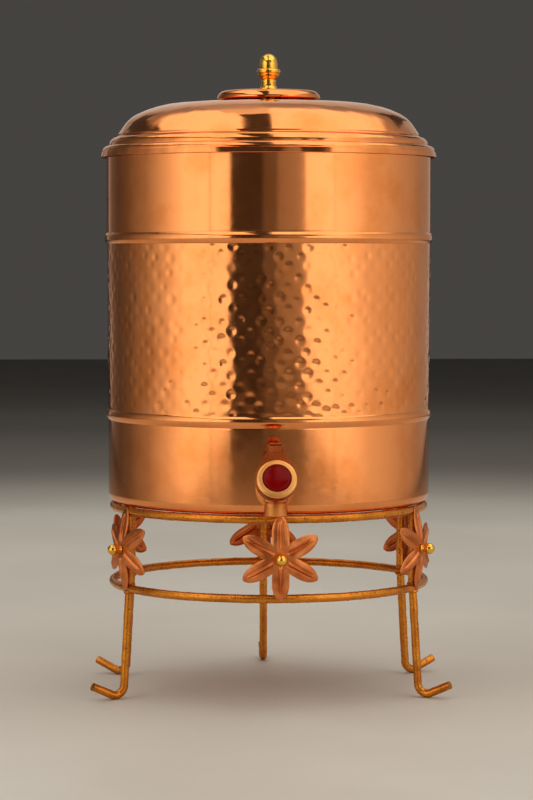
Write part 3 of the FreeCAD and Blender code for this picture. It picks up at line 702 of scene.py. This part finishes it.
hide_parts("lid_dome")


# ==== Lid plate and spacer ====
# A flat copper disc with a sloping edge stands on a short brass collar in the middle of the lid,
# and spreads the finial's pull over the dome.

plate = turn_solid("lid_plate_disc", trace([
    (4.2, 440.5), (31.4, 440.5), (36.9, 435.7, 8, -1), (37.7, 435.6), (38.0, 435.9), (37.9, 436.6),
    (37.0, 438.7, 12, 1),
    (32.2, 441.4, 6.2, 1), (31.4, 441.3), (30.8, 441.5), (4.2, 441.5), (4.2, 440.5)]), 224)
roughen(plate, 0.018, 0.00012, "plate_ripples")
smooth(plate, 28.0)
plate.data.materials.append(lid_copper)
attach(plate, "lid")
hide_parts("lid_plate")

spacer = turn_solid("lid_spacer_collar", trace([
    (4.2, 434.2), (6.5, 434.2), (7.0, 434.7), (7.0, 436.6), (6.6, 436.9), (6.6, 437.5),
    (7.0, 437.8), (7.0, 439.9), (6.4, 440.5), (4.2, 440.5), (4.2, 434.2)]), 64)
smooth(spacer, 30.0)
spacer.data.materials.append(brass)
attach(spacer, "lid")
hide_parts("lid_spacer")


# ==== Finial ====
# A brass knob turned on a lathe: a flared foot, a thin ring at the waist, a cup opening up to a
# collar, and a domed head polished bright.

finial = turn_solid("finial_knob", trace([
    (0, 441.5), (6.5, 441.5), (6.9, 441.9), (6.9, 443.1), (6.6, 443.5), (6.25, 443.7), (5.2, 447.5, 9, -1),
    (5.45, 447.8), (5.55, 448.7), (5.4, 449.6), (5.15, 449.9), (5.6, 450.2), (7.9, 453.7, 5.5, 1),
    (7.75, 454.1), (8.2, 454.4), (8.65, 455.7, 1.6, 1), (8.3, 456.9, 1.6, 1), (6.7, 457.9, 2.4, 1),
    (6.35, 458.2), (6.5, 459.2),
    (6.45, 462.0), (5.2, 465.8, 10, 1), (2.9, 468.0, 5.4, 1), (0.6, 468.68, 4.6, 1), (0, 468.7)]), 96)
smooth(finial, 32.0)
finial.data.materials.append(brass)
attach(finial, "lid")
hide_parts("finial")


# ==== Tap casting and flange ====
# The tap is cast, ground smooth and plated with copper. A domed flange and a black
# rubber washer close the hole in the tank, and the shank goes through them.

tap_copper = polished_copper("tap_copper", (0.86, 0.35, 0.11), (0.64, 0.20, 0.05), 0.1, 0.18)
casting = round_rod(9.5 * MM, 123.2 * MM, 126.2 * MM)
settle(casting, INLET)
shank = round_rod(7.95 * MM, 98 * MM, 134 * MM)
settle(shank, INLET)
carve(casting, shank, "UNION")
deselect()
bpy.ops.mesh.primitive_uv_sphere_add(segments=64, ring_count=32, radius=9.6 * MM,
                                     location=(0, -REACH, TAP_Z))
ball = bpy.context.object
settle(ball)
carve(casting, ball, "UNION")
seat = round_rod(9.5 * MM, 2 * MM, 10 * MM)
settle(seat, SPINDLE)
carve(casting, seat, "UNION")
collar = turn_solid("spout_collar", trace([
    (0, 150.4), (8.0, 150.4), (8.6, 151.0), (8.6, 157.5), (0, 157.5)]), 64)
settle(collar, SPOUT)
carve(casting, collar, "UNION")
modify(casting, "REMESH", mode="VOXEL", voxel_size=0.42 * MM)
modify(casting, "SMOOTH", factor=0.5, iterations=6)
inlet_bore = round_rod(5.2 * MM, 96 * MM, 132 * MM)
settle(inlet_bore, INLET)
carve(casting, inlet_bore)
casting.name = "tap_casting"
smooth(casting, 45.0)
casting.data.materials.append(tap_copper)
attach(casting, "tank")
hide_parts("tap_body")

flange = turn_solid("tap_flange", trace([
    (8.02, 120.7), (13.2, 120.7), (13.5, 121.0), (13.5, 121.6), (13.2, 121.9), (10.0, 123.2, 4.5, 1),
    (8.02, 123.2), (8.02, 120.7)]), 96)
settle(flange, INLET)
smooth(flange, 32.0)
flange.data.materials.append(tap_copper)
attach(flange, "tank")
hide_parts("wall_flange")


# ==== Spout nozzle ====
# A short tube screwed onto the casting. Its lower lip is rounded and its bore is open right up
# into the valve.

nozzle = turn_solid("spout_tube", trace([
    (5.2, 141.2), (5.7, 140.7, 0.5, -1), (7.3, 140.7), (8.2, 141.6, 0.9, 1), (8.2, 149.6),
    (7.8, 149.9), (7.8, 150.3), (7.5, 150.4), (5.2, 150.4), (5.2, 141.2)]), 96)
settle(nozzle, SPOUT)
smooth(nozzle, 32.0)
nozzle.data.materials.append(tap_copper)
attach(nozzle, "tank")
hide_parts("spout_nozzle")


# ==== Bonnet nut ====
# A hexagon nut, chamfered on both faces, that holds the valve in the casting just under the handle.

bonnet = round_rod(11.0 * MM, 10 * MM, 16 * MM, 6)
modify(bonnet, "BEVEL", width=0.5 * MM, segments=3, limit_method="ANGLE", angle_limit=math.radians(40))
bonnet.name = "bonnet_hexagon"
settle(bonnet, SPINDLE)
smooth(bonnet, 32.0)
bonnet.data.materials.append(tap_copper)
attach(bonnet, "tank")
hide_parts("bonnet_nut")


# ==== Tap handle ====
# A die-cast lever plated in copper, its colour darkened to a red-brown as painted shade: a round skirt,
# shoulders that rise to a tab with rounded corners and a thumb hollow, and a raised bright ring, pressed on,
# round the coloured button.

SKIRT_R = 14.5
CORNER_R = 3.2
TAB_CORNER = (2.9, 23.5)
skirt_way = arc((0, 0), SKIRT_R, -216, 36, 63)
corner_way = arc(TAB_CORNER, CORNER_R, 0, 90, 9)
shoulder = [(10.6, 13.0), (8.4, 16.6), (6.5, 19.2), (6.1, 20.2)]
right_way = shoulder + corner_way
lever_way = skirt_way + right_way + [(-x, y) for x, y in reversed(corner_way)]
lever_way += [(-x, y) for x, y in reversed(shoulder)]
lever = draw_line("lever_plate", [(x * MM, y * MM, 17 * MM) for x, y in lever_way])
bpy.ops.object.mode_set(mode="EDIT")
bpy.ops.mesh.select_all(action="SELECT")
bpy.ops.mesh.edge_face_add()
bpy.ops.mesh.select_all(action="SELECT")
bpy.ops.mesh.extrude_region_move(TRANSFORM_OT_translate={"value": (0, 0, 5.8 * MM)})
bpy.ops.mesh.select_all(action="SELECT")
bpy.ops.mesh.normals_make_consistent(inside=False)
bpy.ops.object.mode_set(mode="OBJECT")
deselect()
bpy.ops.mesh.primitive_cube_add(size=1, location=(0, 22.4 * MM, 23.0 * MM))
thumb = bpy.context.object
thumb.scale = (9.9 * MM, 6.2 * MM, 2.0 * MM)
settle(thumb)
modify(thumb, "BEVEL", width=1.4 * MM, segments=5)
carve(lever, thumb)
relief = round_rod(20 * MM, 10 * MM, 18.6 * MM)
settle(relief, Matrix.Translation((0, 34.5 * MM, 0)))
carve(lever, relief)
modify(lever, "BEVEL", width=0.6 * MM, segments=3, limit_method="ANGLE",
       angle_limit=math.radians(42))
settle(lever, SPINDLE @ Matrix.Translation((-0.5 * MM, 0.6 * MM, 0)))
smooth(lever, 40.0)
modify(lever, "WEIGHTED_NORMAL", keep_sharp=True)
# The lever's dark red-brown copper is painted shade: the same copper plating as the tap, darkened where the
# lever sits in shade.
shaded_lever_copper = polished_copper("shaded_lever_copper", (0.42, 0.12, 0.035), (0.26, 0.06, 0.015), 0.2, 0.3)
lever.data.materials.append(shaded_lever_copper)
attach(lever, "handle")
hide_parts("handle_lever")

boss = turn_solid("lever_ring", trace([
    (9.85, 22.4), (13.9, 22.4), (13.9, 22.9), (13.6, 23.2), (13.45, 23.3), (13.55, 24.4),
    (13.2, 24.9, 0.5, 1), (12.9, 24.95), (12.6, 25.2), (10.5, 25.3), (10.1, 25.1, 0.4, 1), (9.95, 24.7),
    (9.85, 22.4)]), 128)
settle(boss, SPINDLE)
smooth(boss, 32.0)
ring_copper = polished_copper("ring_copper", (0.95, 0.50, 0.19), (0.86, 0.38, 0.12), 0.3, 0.4)
boss.data.materials.append(ring_copper)
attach(boss, "handle")


# ==== Red button ====
# A domed plastic disc, moulded in dark red with a slight shine. It clips into the handle and
# covers its screw.

def red_plastic():
    material = new_material("red_enamel")
    shader = shader_of(material)
    shader.inputs["Specular IOR Level"].default_value = 0.16
    shader.inputs["Coat Weight"].default_value = 0.04
    shader.inputs["Coat Roughness"].default_value = 0.08
    space = grain_space(material)
    clouds = noise(material, space, 160.0, 4.0)
    ripples = noise(material, space, 500.0, 2.0)
    ramp = blend_colours(material, clouds, (0.20, 0.002, 0.002), (0.28, 0.003, 0.003), 0.3, 0.7)
    wire(material, ramp, "Color", shader, "Base Color")
    vary_roughness(material, clouds, 0.16, 0.28)
    raise_bumps(material, ripples, 0.00003, 0.3)
    return material


red_enamel = red_plastic()
button = turn_solid("red_button", trace([
    (0, 24.3), (9.3, 24.3), (9.7, 24.7), (9.7, 25.2), (9.3, 25.6), (8.5, 25.75), (8.2, 25.6), (7.9, 25.75),
    (3.0, 26.35, 42, 1), (0, 26.4)]), 96)
settle(button, SPINDLE)
smooth(button, 32.0)
button.data.materials.append(red_enamel)
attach(button, "handle")
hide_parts("index_disc")


# ==== Parts inside and behind ====
# The base disc, the mouth's folded ring, the lid's skirt, the valve and the fixings keep their plain
# machined shapes. Rubber is matt and slightly dusty, steel is bright zinc, the rest is as above.

def soft_rubber():
    material = new_material("black_rubber")
    space = grain_space(material)
    dust = noise(material, space, 240.0, 6.0)
    ramp = blend_colours(material, dust, (0.012, 0.012, 0.012), (0.045, 0.042, 0.040))
    wire(material, ramp, "Color", shader_of(material), "Base Color")
    vary_roughness(material, dust, 0.55, 0.75)
    raise_bumps(material, dust, 0.0001, 0.4)
    return material


def bright_steel():
    material = new_material("steel")
    shader_of(material).inputs["Metallic"].default_value = 1.0
    space = grain_space(material)
    spangle = noise(material, space, 300.0, 5.0)
    ramp = blend_colours(material, spangle, (0.42, 0.42, 0.43), (0.66, 0.66, 0.65))
    wire(material, ramp, "Color", shader_of(material), "Base Color")
    vary_roughness(material, spangle, 0.22, 0.4)
    raise_bumps(material, spangle, 0.00005, 0.4)
    return material


black_rubber = soft_rubber()
steel = bright_steel()
finishes = {
    tank_copper: ("tank_base", "mouth_ring"),
    lid_copper: ("lid_skirt",),
    black_rubber: ("outer_washer", "inner_washer", "plug_seal"),
    brass: ("back_nut", "valve_plug", "spindle"),
    steel: ("handle_screw", "finial_stud", "lid_washer", "lid_nut"),
}
for finish, nodes in finishes.items():
    for node in nodes:
        for material_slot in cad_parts[node].material_slots:
            material_slot.material = finish


# ==== Floor, light and camera ====
# A plain pale floor whose colour darkens far off as painted shade, in a grey room. Soft panels stand left
# and right with a gap between them in front, dimmer ones stand in front and behind, and three hang overhead.

def glowing_panel(name, corners, steps, strength=1.3):
    """A soft light through four corners. A step is (share of the way to corner two, brightness)."""
    deselect()
    bpy.ops.mesh.primitive_plane_add(size=1)
    panel = bpy.context.object
    panel.name = name
    for vertex, corner in zip(panel.data.vertices, corners):
        vertex.co = corner
    glow = bpy.data.materials.new(name + "_glow")
    glow.use_nodes = True
    glow.node_tree.nodes.remove(shader_of(glow))
    coordinates = add_node(glow, "ShaderNodeTexCoord")
    split = add_node(glow, "ShaderNodeSeparateXYZ")
    wire(glow, coordinates, "Object", split, 0)
    start, stop = corners[:2]
    axis = 0 if abs(stop[0] - start[0]) > abs(stop[1] - start[1]) else 1
    share = add_node(glow, "ShaderNodeMapRange")
    share.inputs["From Min"].default_value = start[axis]
    share.inputs["From Max"].default_value = stop[axis]
    wire(glow, split, axis, share, "Value")
    ramp = add_node(glow, "ShaderNodeValToRGB")
    ramp.color_ramp.elements[0].color = (steps[0][1],) * 3 + (1.0,)
    ramp.color_ramp.elements[1].color = (steps[-1][1],) * 3 + (1.0,)
    for place, brightness in steps[1:-1]:
        ramp.color_ramp.elements.new(place).color = (brightness,) * 3 + (1.0,)
    wire(glow, share, "Result", ramp, "Fac")
    power = add_node(glow, "ShaderNodeMath", operation="MULTIPLY")
    power.inputs[1].default_value = strength
    wire(glow, ramp, "Color", power, 0)
    emission = add_node(glow, "ShaderNodeEmission", Color=(1.0, 0.94, 0.84, 1.0))
    wire(glow, power, 0, emission, "Strength")
    wire(glow, emission, 0, glow.node_tree.nodes["Material Output"], "Surface")
    panel.data.materials.append(glow)
    panel.visible_camera = False


def upright(start, stop, low, high):
    """Corners of an upright panel."""
    return [(*start, low), (*stop, low), (*start, high), (*stop, high)]


def overhead(left, right, back, front):
    """Corners of a level panel under the ceiling."""
    return [(left, back, CEILING), (left, front, CEILING), (right, back, CEILING), (right, front, CEILING)]


def seen_from_tank(aside, angles):
    """Brightness by the angle at which a light stands round the tank, in degrees from the front."""
    reach = [-aside / math.tan(math.radians(angle)) for angle, _ in angles]
    steps = [((y - reach[0]) / (reach[-1] - reach[0]), level) for y, (_, level) in zip(reach, angles)]
    return reach[0], reach[-1], steps


deselect()
bpy.ops.mesh.primitive_plane_add(size=12)
floor = bpy.context.object
floor.name = "floor"
floor_finish = new_material("floor_finish")
floor_space = grain_space(floor_finish)
floor_clouds = noise(floor_finish, floor_space, 3.0, 5.0)
floor_ramp = blend_colours(floor_finish, floor_clouds, (0.62, 0.60, 0.57), (0.68, 0.66, 0.63))
# From 1.1 m to 2.1 m out, the floor's colour turns dark grey: painted shade for the light falling off far
# from the panels.
floor_reach = add_node(floor_finish, "ShaderNodeVectorMath", operation="LENGTH")
wire(floor_finish, floor_space, "Vector", floor_reach, 0)
floor_painted_shade = add_node(floor_finish, "ShaderNodeMapRange", interpolation_type="SMOOTHSTEP")
for entry, value in (("From Min", 1.1), ("From Max", 2.1), ("To Min", 0.0), ("To Max", 1.0)):
    floor_painted_shade.inputs[entry].default_value = value
wire(floor_finish, floor_reach, "Value", floor_painted_shade, "Value")
floor_colour = add_node(floor_finish, "ShaderNodeMix", data_type="RGBA")
floor_colour.inputs[7].default_value = (0.20, 0.19, 0.18, 1.0)
wire(floor_finish, floor_painted_shade, "Result", floor_colour, 0)
wire(floor_finish, floor_ramp, "Color", floor_colour, 6)
wire(floor_finish, floor_colour, 2, shader_of(floor_finish), "Base Color")
vary_roughness(floor_finish, floor_clouds, 0.5, 0.6)
floor.data.materials.append(floor_finish)

room = bpy.data.worlds.new("room")
bpy.context.scene.world = room
room.use_nodes = True
room.node_tree.nodes["Background"].inputs["Color"].default_value = (0.07, 0.066, 0.062, 1.0)

ASIDE = 1.3
SIDE_TOP = 1.4
SIDE_STRENGTH = 1.22
CEILING = 2.5
NEAR_FLOOR = 0.02
side_levels = {
    "left_light": (-ASIDE, [
        (28, 0.95), (41.4, 1.0), (41.6, 0.4), (42.2, 0.4), (42.4, 1.0), (60, 0.95), (76, 0.55), (93, 0.27),
        (115, 0.12), (130, 0.08), (145, 0.12), (155, 0.3)]),
    "right_light": (ASIDE, [
        (23, 0.95), (43.0, 1.0), (43.2, 0.4), (43.8, 0.4), (44.0, 1.0), (56, 0.85), (70, 0.6), (100, 0.4),
        (124, 0.28), (145, 0.24), (158, 0.35)])}
for name, (x, levels) in side_levels.items():
    front, back, steps = seen_from_tank(ASIDE, levels)
    glowing_panel(name, upright((x, front), (x, back), NEAR_FLOOR, SIDE_TOP), steps, SIDE_STRENGTH)
glowing_panel("front_light", upright((-0.35, -3.4), (1.5, -3.4), NEAR_FLOOR, 2.3),
              [(0.0, 0.12), (0.3, 0.12), (0.33, 0.22), (0.8, 0.28), (1.0, 0.45)])
glowing_panel("back_light", upright((-1.2, 2.9), (1.2, 2.9), 0.62, 2.6),
              [(0.0, 0.2), (0.5, 0.45), (1.0, 0.22)])
top_levels = [(0.0, 0.2), (0.2, 0.28), (0.33, 0.9), (1.0, 1.0)]
glowing_panel("left_top_light", overhead(-2.1, -0.5, 2.9, -2.4), top_levels)
glowing_panel("right_top_light", overhead(0.02, 2.8, 2.9, -2.4), top_levels)
glowing_panel("middle_top_light", overhead(-0.5, 0.02, 2.9, 0.15),
              [(0.0, 0.26), (0.35, 0.34), (0.6, 0.55), (1.0, 0.65)])

bpy.context.scene.view_settings.view_transform = "Standard"
bpy.context.scene.view_settings.look = "Medium High Contrast"

AZIMUTH = math.radians(2.05)
DISTANCE = 1.985
camera_data = bpy.data.cameras.new("camera")
camera_data.lens = 120.6
camera_data.sensor_width = 36.0
camera = bpy.data.objects.new("camera", camera_data)
bpy.context.scene.collection.objects.link(camera)
camera.location = (-DISTANCE * math.sin(AZIMUTH), -DISTANCE * math.cos(AZIMUTH), 0.3244)
pitch = math.radians(3.2)
camera.rotation_euler = (math.pi / 2 - pitch, 0, 0.0008 - AZIMUTH)
bpy.context.scene.camera = camera
